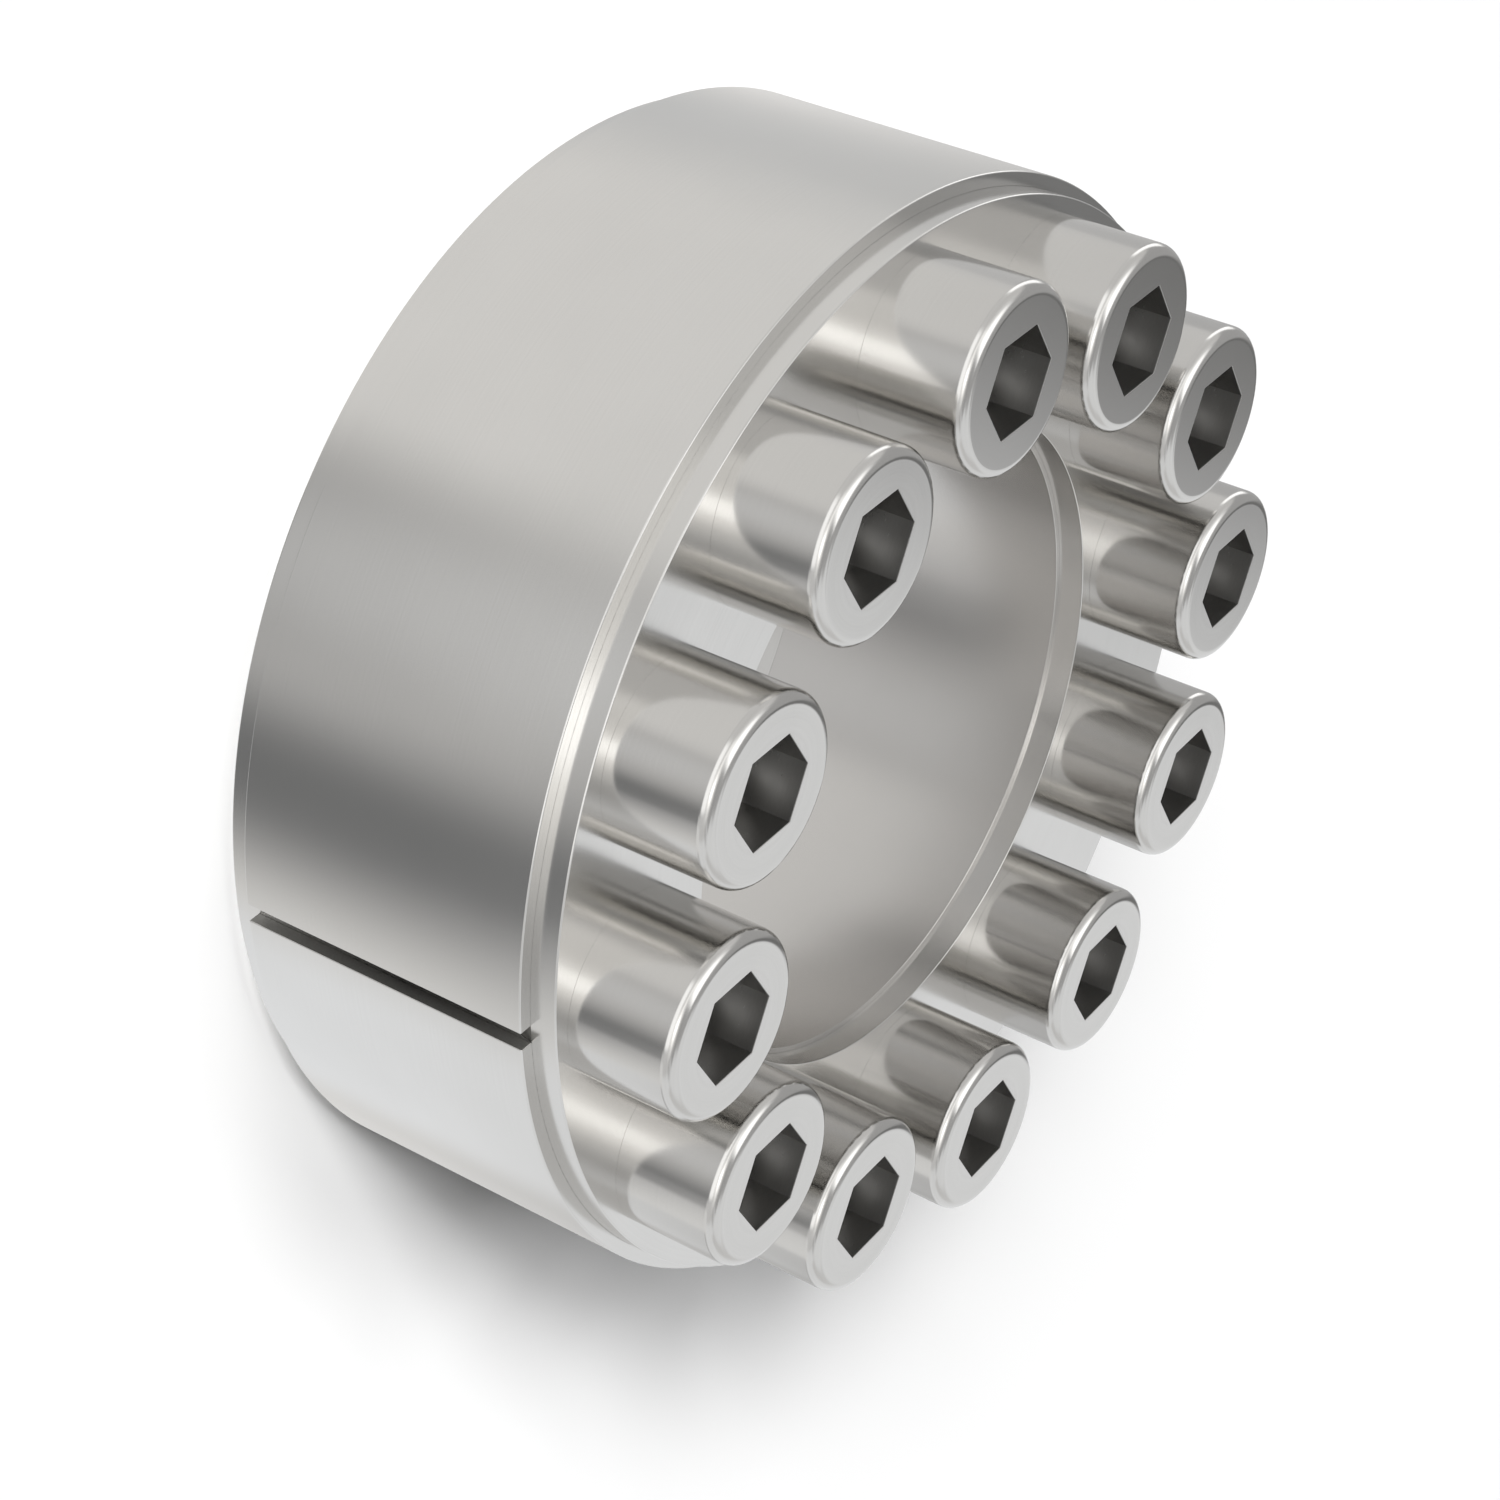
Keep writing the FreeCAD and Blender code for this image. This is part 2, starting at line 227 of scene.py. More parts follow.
class StudioLight(PropertyGroup):
    """The soft lamps, the floor and the camera."""

    lamp_level: FloatProperty(name="Lamps", description="What the soft lamps give a level floor together",
                              default=3.5, min=0)
    fill: FloatProperty(name="Fill", description="Plain level of the room's light", default=0.02, min=0)
    floor_tone: FloatVectorProperty(name="Floor", description="Colour of the pale floor", subtype="COLOR",
                                    default=(0.90, 0.90, 0.90), min=0, max=1)
    lens: FloatProperty(name="Lens",
                        description="Focal length in millimetres on a 36 mm sensor", default=85.0,
                        min=20, max=300)
    camera_place: FloatVectorProperty(name="Camera place", description="Where the camera stands",
                                      subtype="TRANSLATION", unit="LENGTH",
                                      default=(-0.10732, -0.12564, 0.10074))
    camera_turn: FloatVectorProperty(name="Camera turn",
                                     description="How the camera is turned about X, Y and Z",
                                     subtype="EULER", unit="ROTATION",
                                     default=[math.radians(a) for a in (-35.23, -54.494, 89.30)])


# Shapes


def rounded(corners, radii, steps=6):
    """Points and outward normals of a run of straight lines whose corners are rounded.

    Corners are (radius, height) pairs with the metal on the left. At each corner, an arc of the given radius
    touches both lines: its centre lies one radius off the incoming line, and the outward normal turns evenly
    from one line's to the next one's while the point keeps its radius from the centre.
    """
    corners, radii = np.asarray(corners, float), np.asarray(radii, float)
    along = np.diff(corners, axis=0)
    along /= np.linalg.norm(along, axis=1)[:, None]
    into, out = along[:-1], along[1:]
    turn = np.arctan2(into[:, 0] * out[:, 1] - into[:, 1] * out[:, 0], (into * out).sum(1))
    side = np.sign(turn)
    outward = np.stack([into[:, 1], -into[:, 0]], 1)
    setback = radii * np.tan(np.abs(turn) / 2)
    centre = corners[1:-1] - into * setback[:, None] - outward * (side * radii)[:, None]
    angle = turn[:, None] * np.linspace(0, 1, steps)
    normal = np.stack([outward[:, :1] * np.cos(angle) - outward[:, 1:] * np.sin(angle),
                       outward[:, :1] * np.sin(angle) + outward[:, 1:] * np.cos(angle)], -1)
    points = centre[:, None] + normal * (side * radii)[:, None, None]
    return points.reshape(-1, 2), normal.reshape(-1, 2)


def rounded_loop(corners, radii, steps=6):
    """The same for a closed outline: the run starts and ends at the middle of its last line."""
    corners = np.asarray(corners, float)
    middle = (corners[0] + corners[-1]) / 2
    points, normals = rounded(np.vstack([middle, corners, middle]), radii, steps)
    return np.vstack([points, points[:1]]), np.vstack([normals, normals[:1]])


def turned(points, normals, angles, centre=(0, 0)):
    """A profile turned about an upright axis.

    The point at angle a is (x0 + r cos a, y0 + r sin a, z), and its normal (nr cos a, nr sin a, nz).
    """
    cos, sin = np.cos(angles)[:, None], np.sin(angles)[:, None]
    skin = np.stack([centre[0] + points[:, 0] * cos, centre[1] + points[:, 0] * sin,
                     points[:, 1] + 0 * cos], -1)
    facing = np.stack([normals[:, 0] * cos, normals[:, 0] * sin, normals[:, 1] + 0 * cos], -1)
    return skin, facing


def mirrored(sheets, height):
    """The same skin upside down: z becomes height less z."""
    flipped = []
    for skin, facing in sheets:
        skin, facing = skin.copy(), facing.copy()
        skin[..., 2] = height - skin[..., 2]
        facing[..., 2] *= -1
        flipped.append((skin, facing))
    return flipped


def corners_of(skin, facing):
    """The four corner points, their numbers and their normals for every cell of a grid.

    A grid of normals gives one per point. A fourth axis gives the two ends of each strip between two rows
    their own normals, so the strips meet in crisp edges.
    """
    count_a, count_b = skin.shape[:2]
    number = np.arange(count_a * count_b).reshape(count_a, count_b)
    cells = np.stack([number[:-1, :-1], number[1:, :-1], number[1:, 1:], number[:-1, 1:]], -1).reshape(-1, 4)
    if facing.ndim == 3:
        return cells, facing.reshape(-1, 3)[cells]
    low, high = facing[:, :, 0], facing[:, :, 1]
    normals = np.stack([low[:-1], low[1:], high[1:], high[:-1]], 2)
    return cells, normals.reshape(-1, 4, 3)


def sew(name, sheets, caps=(), axis=(0, 0), inside=()):
    """Joins grids of points and flat end caps into one closed piece.

    Cells are wound so that they face the way their normals point, points closer than a tenth of a micron
    become one, and cells that this shuts are left out. The piece carries, as an attribute, each point's place
    measured from its own turning axis. The caps, and the grids numbered in inside, take the second finish.
    """
    skins, cells, normals, finish, start = [], [], [], [], 0
    for number, (skin, facing) in enumerate(sheets):
        numbers, corner_normals = corners_of(skin, facing)
        flat = skin.reshape(-1, 3)
        shape = flat[numbers]
        face = np.cross(shape[:, 2] - shape[:, 0], shape[:, 3] - shape[:, 1])
        back = (face * corner_normals.sum(1)).sum(1) < 0
        numbers[back] = numbers[back][:, ::-1]
        corner_normals[back] = corner_normals[back][:, ::-1]
        skins.append(flat)
        cells.append(numbers + start)
        normals.append(corner_normals)
        finish.append(np.full(len(numbers), number in inside))
        start += len(flat)
    rims = []
    for outline, facing in caps:
        rims.append((np.arange(len(outline)) + start, facing))
        skins.append(outline)
        start += len(outline)
    points = np.vstack(skins)
    _, first, same = np.unique(np.rint(points / WELD).astype(np.int64), axis=0, return_index=True,
                               return_inverse=True)
    points, same = points[first], same.ravel()
    cells, normals, finish = same[np.vstack(cells)], np.vstack(normals), np.concatenate(finish)
    shut = cells == np.roll(cells, -1, 1)
    quads = ~shut.any(1) & (cells[:, 0] != cells[:, 2]) & (cells[:, 1] != cells[:, 3])
    faces, corner_normals = cells[quads].tolist(), [normals[quads].reshape(-1, 3)]
    finishes = [finish[quads]]
    for corner in range(4):
        keep = [c for c in range(4) if c != corner]
        lone = shut[:, corner] & (shut.sum(1) == 1)
        three = cells[lone][:, keep]
        whole = (three[:, 0] != three[:, 1]) & (three[:, 1] != three[:, 2]) & (three[:, 2] != three[:, 0])
        faces += three[whole].tolist()
        corner_normals.append(normals[lone][:, keep][whole].reshape(-1, 3))
        finishes.append(finish[lone][whole])
    for numbers, facing in rims:
        rim = same[numbers]
        rim = rim[rim != np.roll(rim, 1)]
        loop = points[rim]
        area = np.cross(loop, np.roll(loop, -1, 0)).sum(0)
        faces.append((rim if area @ facing > 0 else rim[::-1]).tolist())
        corner_normals.append(np.tile(np.asarray(facing, float), (len(rim), 1)))
        finishes.append([True])
    mesh = bpy.data.meshes.new(name + "_skin")
    mesh.from_pydata(points.tolist(), [], faces)
    mesh.polygons.foreach_set("use_smooth", np.ones(len(faces), bool))
    mesh.polygons.foreach_set("material_index", np.concatenate(finishes).astype(np.int32))
    mesh.normals_split_custom_set(np.vstack(corner_normals))
    place = mesh.attributes.new("from_axis", "FLOAT_VECTOR", "POINT")
    place.data.foreach_set("vector", (points - [axis[0], axis[1], 0]).astype(np.float32).ravel())
    mesh.update()
    piece = bpy.data.objects.new(name, mesh)
    bpy.context.scene.collection.objects.link(piece)
    return piece


def dress(piece, node, body, slot, *finishes):
    """Puts a finished piece in its CAD node's place, on the node's body, in its finishes."""
    for finish in finishes:
        piece.data.materials.append(finish)
    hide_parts(node)
    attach(piece, body)
    return piece


def slit_ring(name, corners, radii, slit, lip, columns):
    """A turned ring with a straight slit on its -Y side.

    The closed profile is carried round from one slit wall to the other: a point at radius r starts where its
    x is half the slit, at angle -90 degrees plus arcsin(half slit / r). At both ends the profile shrinks by
    the lip along its own normals over a quarter arc, and a flat cap closes it.
    """
    points, normals = rounded_loop(corners, radii)
    quarter = np.linspace(0, np.pi / 2, 4)
    inset = np.concatenate([lip * (1 - np.sin(quarter)), np.zeros(columns - 1),
                            lip * (1 - np.sin(quarter))[::-1]])
    offset = np.concatenate([lip * (1 - np.cos(quarter)), np.zeros(columns - 1),
                             lip * (1 - np.cos(quarter))[::-1]])
    tilt = np.concatenate([quarter, np.full(columns - 1, np.pi / 2), quarter[::-1]])
    share = np.concatenate([np.zeros(4), np.arange(1, columns) / columns, np.ones(4)])
    end = np.where(share < 0.5, 1.0, -1.0)
    profile = points[None] - normals[None] * inset[:, None, None]
    radius, height = profile[..., 0], profile[..., 1]
    wall = slit / 2 + offset
    hide = np.arcsin((slit / 2 + lip) / radius)
    angle = -np.pi / 2 + hide + share[:, None] * (2 * np.pi - 2 * hide)
    at_wall = (share == 0) | (share == 1)
    angle_wall = np.arcsin(wall[:, None] / radius)
    angle_wall = np.where(share[:, None] < 0.5, -np.pi / 2 + angle_wall, 3 * np.pi / 2 - angle_wall)
    angle = np.where(at_wall[:, None], angle_wall, angle)
    skin = np.stack([radius * np.cos(angle), radius * np.sin(angle), height], -1)
    side = np.stack([-end, 0 * end, 0 * end], -1)[:, None]
    facing = np.stack([normals[:, 0] * np.cos(angle), normals[:, 0] * np.sin(angle),
                       normals[:, 1] + 0 * angle], -1)
    facing = facing * np.sin(tilt)[:, None, None] + side * np.cos(tilt)[:, None, None]
    caps = [(skin[0, :-1], (-1.0, 0, 0)), (skin[-1, :-1], (1.0, 0, 0))]
    return sew(name, [(skin, facing)], caps)


def sector_edge(inner, outer, columns, sides):
    """Points round one screw's share of a flat ring face, from the outer arc on through its sides.

    The outer arc runs evenly over 30 degrees, then a side runs straight in, the inner arc runs back, and the
    other side runs out again.
    """
    half = np.pi / len(SCREWS)
    arc = np.linspace(-half, half, columns + 1)
    run = np.linspace(outer, inner, sides + 1)[1:-1]
    radius = np.concatenate([np.full(columns + 1, outer), run, np.full(columns + 1, inner), run[::-1]])
    angle = np.concatenate([arc, np.full(sides - 1, half), arc[::-1], np.full(sides - 1, -half)])
    edge = np.stack([radius * np.cos(angle), radius * np.sin(angle)], -1)
    return np.vstack([edge, edge[:1]])


def holed_face(edge, hole_angles, hole_radius, height, facing_z, spin, rows=5, crowd=1.3):
    """A flat face between one screw hole and its sector's edge.

    The row at share s lies at (1 - s) times the hole's circle plus s times the edge, straight across. The
    shares are even steps raised to a power, which crowds the rows at the hole.
    """
    circle = np.stack([PITCH_R + hole_radius * np.cos(hole_angles), hole_radius * np.sin(hole_angles)], -1)
    share = np.linspace(0, 1, rows)[None, :, None] ** crowd
    flat = circle[:, None] * (1 - share) + edge[:, None] * share
    cos, sin = np.cos(spin), np.sin(spin)
    skin = np.stack([flat[..., 0] * cos - flat[..., 1] * sin, flat[..., 0] * sin + flat[..., 1] * cos,
                     np.full(flat.shape[:2], height)], -1)
    return skin, np.broadcast_to(np.array([0.0, 0.0, facing_z]), skin.shape).copy()


def thread_depth(turn_share):
    """Fall of a 60 degree thread below its crest, in pitches, at a share of one turn.

    Half the crest is flat from its middle on, then a straight flank falls by the root of three for each pitch
    along, down to a flat root.
    """
    away = np.abs(turn_share - np.rint(turn_share))
    return np.clip((away - CREST_HALF) * math.sqrt(3), 0, THREAD_DROP)


def threaded(centre, angles, low, high, pitch, radius_at, least, most, outward):
    """A threaded cylinder whose rows follow the thread.

    Each turn has six rows: at the crest's and the root's edges and half way down both flanks. Row k at angle
    a lies at height pitch times (k + a / full turn), held between low and high. Its radius is
    radius_at(height / pitch - a / full turn), held between what least and most give for that height.
    """
    first = math.floor(low / pitch - angles.max() / (2 * np.pi)) - 1
    last = math.ceil(high / pitch - angles.min() / (2 * np.pi)) + 1
    root_edge = CREST_HALF + THREAD_DROP / math.sqrt(3)
    rows = [-root_edge, -0.25, -CREST_HALF, CREST_HALF, 0.25, root_edge]
    steps = (np.arange(first, last)[:, None] + rows).ravel()
    turn = angles[:, None] / (2 * np.pi)
    height = np.clip(pitch * (steps + turn), low, high)
    radius = np.minimum(np.maximum(radius_at(height / pitch - turn), least(height)), most(height))
    cos, sin = np.cos(angles)[:, None], np.sin(angles)[:, None]
    skin = np.stack([centre[0] + radius * cos, centre[1] + radius * sin, height], -1)
    tangent = np.stack([-radius * sin, radius * cos, np.full(radius.shape, pitch / (2 * np.pi))], -1)
    across = np.diff(skin, axis=1)
    facing = np.stack([np.cross(tangent[:, :-1], across), np.cross(tangent[:, 1:], across)], 2)
    plain = np.stack([cos + 0 * across[..., 0], sin + 0 * across[..., 0], 0 * across[..., 0]], -1)[:, :, None]
    length = np.linalg.norm(facing, axis=-1, keepdims=True)
    facing = np.where(length > NO_AREA, facing / np.maximum(length, NO_AREA), plain)
    towards = (facing * plain).sum(-1, keepdims=True)
    return skin, facing * np.where(towards < 0, -outward, outward)


def thrust_ring_sheets(sizes, mouth, nose_mouth):
    """The grids of a thrust ring with its face up, and the axis and wall angles of its twelve holes.

    Two turned runs, outside and inside, end on the flat faces' edges, and twelve sectors fill each face
    round its holes. The mouths are the holes' radii in the face and in the nose.
    """
    nose_out, nose_in = sizes.rim_radius - sizes.taper_run, sizes.thrust_bore + sizes.taper_run
    edge, lip = sizes.edge, sizes.lip
    # Both runs begin and end a few roundings inside the flat faces.
    outside = [(nose_out - 3 * lip, NOSE_LOW), (nose_out, NOSE_LOW), (sizes.rim_radius, RING_HIGH),
               (sizes.rim_radius, FACE_Z - sizes.bevel_rise), (sizes.rim_radius - sizes.bevel_width, FACE_Z),
               (sizes.rim_radius - 4 * edge, FACE_Z)]
    inside = [(sizes.thrust_bore + 4 * edge, FACE_Z), (sizes.thrust_bore, FACE_Z),
              (sizes.thrust_bore, RING_HIGH), (nose_in, NOSE_LOW), (nose_in + 3 * lip, NOSE_LOW)]
    count = len(SCREWS)
    angles = np.linspace(-np.pi / count, (2 - 1 / count) * np.pi, count * sizes.columns + 1)
    out_points, out_normals = rounded(outside, [2 * lip, 0, edge, edge])
    in_points, in_normals = rounded(inside, [edge, 0, 2 * lip])
    sheets = [turned(out_points, out_normals, angles), turned(in_points, in_normals, angles)]
    sides = max(6, sizes.columns // 2)
    face_edge = sector_edge(in_points[0, 0], out_points[-1, 0], sizes.columns, sides)
    nose_edge = sector_edge(in_points[-1, 0], out_points[0, 0], sizes.columns, sides)
    around = np.unwrap(np.arctan2(face_edge[:, 1], face_edge[:, 0] - PITCH_R))
    holes = []
    for number in range(count):
        spin = 2 * np.pi * number / count
        holes.append(((PITCH_R * math.cos(spin), PITCH_R * math.sin(spin)), around + spin))
        sheets.append(holed_face(face_edge, around, mouth, FACE_Z, 1, spin))
        sheets.append(holed_face(nose_edge, around, nose_mouth, NOSE_LOW, -1, spin))
    return sheets, holes


def screw_sheets(sizes, centre):
    """The grids of one socket head cap screw on an upright axis.

    The head is a turned profile from its seat to the flat top. The top runs from that circle to the hexagon,
    whose radius at angle a is half the key size over the cosine of the angle to the nearest flat's middle.
    The socket's walls go straight down, its floor closes in to a drill point, and the shank is threaded to
    the tip. The thread runs out towards the neck, and the tip widens at 45 degrees from its flat end.
    """
    angles = np.linspace(0, 2 * np.pi, sizes.columns + 1)
    seat, top, tip = FACE_Z, SCREW_HIGH.z, SCREW_LOW.z
    shank, head = sizes.thread_radius, sizes.head_radius
    neck = seat - sizes.neck
    profile = [(shank, neck), (shank, seat), (head, seat), (head, top), (head - sizes.head_round, top)]
    points, normals = rounded(profile, [sizes.fillet, sizes.seat_edge, sizes.head_round], 8)
    start = np.array([[shank, neck]])
    points, normals = np.vstack([start, points]), np.vstack([[[1.0, 0]], normals])
    sheets = [turned(points, normals, angles, centre)]
    bevel = sizes.key_bevel
    across = angles - np.rint(angles / (np.pi / 3)) * (np.pi / 3)
    hexagon = sizes.key / 2 / np.cos(across)
    rim = points[-1, 0]
    # Rings from the flat top down the socket: plain radius, share of the hexagon, height and added bevel.
    levels = [(rim, 0, top, 0), (0, 1, top, bevel), (0, 1, top - bevel, 0), (0, 1, top - sizes.key_depth, 0)]
    radius = np.stack([plain + hexagon * share + added for plain, share, _, added in levels], 1)
    height = np.broadcast_to([z for _, _, z, _ in levels], radius.shape)
    ring = np.stack([centre[0] + radius * np.cos(angles)[:, None],
                     centre[1] + radius * np.sin(angles)[:, None], height], -1)
    up = np.broadcast_to([0.0, 0, 1], ring[:, :2].shape).copy()
    sheets.append((ring[:, :2], up))
    middle = (angles[:-1] + angles[1:]) / 2
    flat = np.rint(middle / (np.pi / 3)) * (np.pi / 3)
    inward = -np.stack([np.cos(flat), np.sin(flat), 0 * flat], -1)
    walls = []
    six = sizes.columns // 6
    for side in range(6):
        first = six * side + six // 2
        pick = (first + np.arange(six + 1)) % sizes.columns
        facing = inward[pick[six // 2]]
        chamfer = (facing + [0, 0, 1]) / math.sqrt(2)
        wall = ring[pick]
        walls.append((wall[:, 1:3], np.broadcast_to(chamfer, wall[:, 1:3].shape).copy()))
        walls.append((wall[:, 2:4], np.broadcast_to(facing, wall[:, 2:4].shape).copy()))
    socket = range(len(sheets), len(sheets) + len(walls) + 2)
    sheets += walls
    drill = sizes.key / 2 - sizes.key_ledge
    floor = top - sizes.key_depth
    radius = np.stack([hexagon, np.full(len(angles), drill)], 1)
    ledge = np.stack([centre[0] + radius * np.cos(angles)[:, None],
                      centre[1] + radius * np.sin(angles)[:, None], np.full(radius.shape, floor)], -1)
    sheets.append((ledge, np.broadcast_to([0.0, 0, 1], ledge.shape).copy()))
    slope = math.atan2(sizes.key_point, drill)
    cone = np.array([(drill, floor), (drill / 2, floor - sizes.key_point / 2), (0, floor - sizes.key_point)])
    sheets.append(turned(cone, np.tile([-math.sin(slope), math.cos(slope)], (3, 1)), angles, centre))
    end_radius = shank - THREAD_DROP * sizes.pitch - sizes.tip_inset
    sheets.append(threaded(
        centre, angles, tip, neck, sizes.pitch, lambda share: shank - sizes.pitch * thread_depth(share),
        lambda height: shank - (neck - height) * THREAD_RUN_OUT,
        lambda height: np.minimum(shank, end_radius + height - tip), 1))
    end = np.array([(end_radius, tip), (0, tip)])
    sheets.append(turned(end, np.tile([0.0, -1.0], (2, 1)), angles, centre))
    return sheets, socket


# Finishes


def calc(tree, operation, *values):
    """One step of arithmetic: each value is a number or another node's output."""
    step = tree.nodes.new("ShaderNodeMath")
    step.operation = operation
    for socket, value in zip(step.inputs, values):
        if isinstance(value, bpy.types.NodeSocket):
            tree.links.new(value, socket)
        else:
            socket.default_value = value
    return step.outputs[0]


def steel(name, look, tone, worn_tone, polish, dull):
    """Steel with faint turning marks round the piece's own axis.

    The marks are noise over radius and height only, so they run round the piece. Half their value and half
    that of a coarser noise, for the worn patches, together mix two tones and two roughnesses.
    """
    material = bpy.data.materials.new(name)
    material.use_nodes = True
    tree = material.node_tree
    new = tree.nodes.new
    shader = tree.nodes["Principled BSDF"]
    shader.inputs["Metallic"].default_value = 1.0
    place = new("ShaderNodeAttribute")
    place.attribute_name = "from_axis"
    parts = new("ShaderNodeSeparateXYZ")
    tree.links.new(place.outputs["Vector"], parts.inputs[0])
    flat = new("ShaderNodeCombineXYZ")
    tree.links.new(parts.outputs[0], flat.inputs[0])
    tree.links.new(parts.outputs[1], flat.inputs[1])
    radius = new("ShaderNodeVectorMath")
    radius.operation = "LENGTH"
    tree.links.new(flat.outputs[0], radius.inputs[0])
    lathe = new("ShaderNodeCombineXYZ")
    tree.links.new(radius.outputs["Value"], lathe.inputs[0])
    tree.links.new(parts.outputs[2], lathe.inputs[1])
    marks = new("ShaderNodeTexNoise")
    marks.inputs["Scale"].default_value = 1 / look.groove
    marks.inputs["Detail"].default_value = 3
    tree.links.new(lathe.outputs[0], marks.inputs["Vector"])
    cloud = new("ShaderNodeTexNoise")
    cloud.inputs["Scale"].default_value = 1 / look.cloud
    cloud.inputs["Detail"].default_value = 4
    tree.links.new(place.outputs["Vector"], cloud.inputs["Vector"])
    half = calc(tree, "MULTIPLY", cloud.outputs["Fac"], 0.5)
    both = calc(tree, "MULTIPLY_ADD", marks.outputs["Fac"], 0.5, half)
    least, most = 0.35, 0.65
    tones = new("ShaderNodeValToRGB")
    worn, bright = tones.color_ramp.elements
    worn.position, bright.position = least, most
    worn.color, bright.color = (*worn_tone, 1), (*tone, 1)
    tree.links.new(both, tones.inputs[0])
    tree.links.new(tones.outputs[0], shader.inputs["Base Color"])
    gloss = new("ShaderNodeMapRange")
    for label, value in (("From Min", least), ("From Max", most), ("To Min", dull), ("To Max", polish)):
        gloss.inputs[label].default_value = value
    tree.links.new(both, gloss.inputs["Value"])
    tree.links.new(gloss.outputs[0], shader.inputs["Roughness"])
    return material


# The soft lamps that shade the floor: degrees round from +X and up, spread, and share of the light. These
# numbers come from a least-squares fit to the photograph's shadow, and were then rounded and scaled.
LAMPS = [
    ("low_lamp", -145, 21.5, 14, 0.27),
    ("key_lamp", -154, 28.5, 14, 0.385),
    ("side_lamp", -175, 48, 17, 0.14),
    ("top_lamp", 149, 66, 23, 0.195),
]

# One entry for each card, wall or lamp that the steel mirrors: middle direction in degrees round from +X and
# up, half its width and height, the softness of its edge, and its light, warm or cool. Names and warmth were
# chosen. A least-squares fit to the photograph's brightness gave nearly all the other numbers, which were
# then rounded. Five entries were changed and one, the glow core, was added after it.
ROOM = [
    ("room", 0, 0, 200, 100, 1, 0.46, 0.0),
    ("left wall", 169, 1, 50, 32.5, 5, 0.72, 0.006),
    ("right wall", -11, 24, 55, 42, 10, 0.91, -0.012),
    ("right panel", 37, 11, 22, 31, 12, 0.90, -0.012),
    ("dark corner", 83, 23, 26.5, 29.5, 4.5, 0.46, 0.0),
    ("door", 62.5, 22, 7.5, 27, 10, 0.20, 0.0),
    ("dim ceiling", -99, 58, 51, 13, 7, 0.43, 0.0),
    ("table", 0, -63, 200, 36, 13.5, 0.84, 0.012),
    ("table right", -15, -61, 23.5, 35, 14, 0.98, -0.018),
    ("table front", -122, -65, 23, 31.5, 21.5, 0.26, 0.0),
    ("front ripple", -121, -28, 12.5, 10.5, 21.5, 0.71, 0.0),
    ("table gap", -75, -53, 19.5, 38, 31.5, 0.19, -0.012),
    ("table back", 106, -45, 18, 15, 32, 0.61, -0.018),
    ("side gap", -68, 7, 13.5, 32.5, 4, 0.71, 0.0),
    ("front lamp", -124, 2, 38.5, 15.5, 10.5, 1.38, 0.0),
    ("high glow", -109, 35, 23.5, 10, 36, 2.14, 0.01),
    ("left glow", -149, 34, 22, 5, 18, 1.42, 0.01),
    ("low back lamp", 115, -9, 24, 8, 7, 1.65, 0.0),
    ("top lamp", 169, 67, 43, 25, 35, 1.89, 0.0),
    ("low strip", -53, -18, 16.5, 10, 4.5, 0.90, 0.0),
    ("right shade", -1, 26, 31.5, 8.5, 7, 0.73, 0.0),
    ("right dusk", -55, 34, 12.5, 4, 16, 0.45, 0.0),
    ("glow core", -110, 35, 8.5, 6, 7, 2.70, 0.0),
]


def within(tree, angle, middle, half, soft):
    """Share of a span of angles: 1 within half of its middle, easing to 0 over the soft edge."""
    ease = tree.nodes.new("ShaderNodeMapRange")
    ease.interpolation_type = "SMOOTHSTEP"
    ease.inputs["From Min"].default_value = math.radians(half + soft / 2)
    ease.inputs["From Max"].default_value = math.radians(half - soft / 2)
    away = calc(tree, "WRAP", calc(tree, "SUBTRACT", angle, math.radians(middle)), math.pi, -math.pi)
    tree.links.new(calc(tree, "ABSOLUTE", away), ease.inputs["Value"])
    return ease.outputs[0]


def surroundings(tree, ground):
    """What the steel mirrors: each card of ROOM laid over the ones before it, by direction alone.

    A card's share is full inside its half width and height and falls smoothly to nothing across its edge.
    Warmth is the share by which a card's red is raised, and its blue falls by a little more.
    """
    place = tree.nodes.new("ShaderNodeTexCoord")
    parts = tree.nodes.new("ShaderNodeSeparateXYZ")
    tree.links.new(place.outputs["Generated"], parts.inputs[0])
    x, y, z = parts.outputs
    around_angle, up_angle = calc(tree, "ARCTAN2", y, x), calc(tree, "ARCSINE", z)
    shade = None
    for name, around, up, half_width, half_height, soft, light, warmth in ROOM:
        tone = (light * (1 + warmth), light, light * (1 - BLUE_FALL * warmth), 1)
        if shade is None:
            shade = tone
            continue
        share = calc(tree, "MULTIPLY", within(tree, around_angle, around, half_width, soft),
                     within(tree, up_angle, up, half_height, soft))
        mix = tree.nodes.new("ShaderNodeMix")
        mix.data_type = "RGBA"
        mix.label = name
        under, over = [socket for socket in mix.inputs if socket.type == "RGBA"]
        over.default_value = tone
        if isinstance(shade, tuple):
            under.default_value = shade
        else:
            tree.links.new(shade, under)
        tree.links.new(share, mix.inputs[0])
        shade = next(socket for socket in mix.outputs if socket.type == "RGBA")
    tree.links.new(shade, ground.inputs["Color"])


def add_piece(name, sheets, body, slot, finishes, axis=(0, 0), inside=()):
    """Sews the grids into a piece and puts it in its CAD node's place."""
    return dress(sew(name + "_steel", sheets, axis=axis, inside=inside), name, body, slot, *finishes)


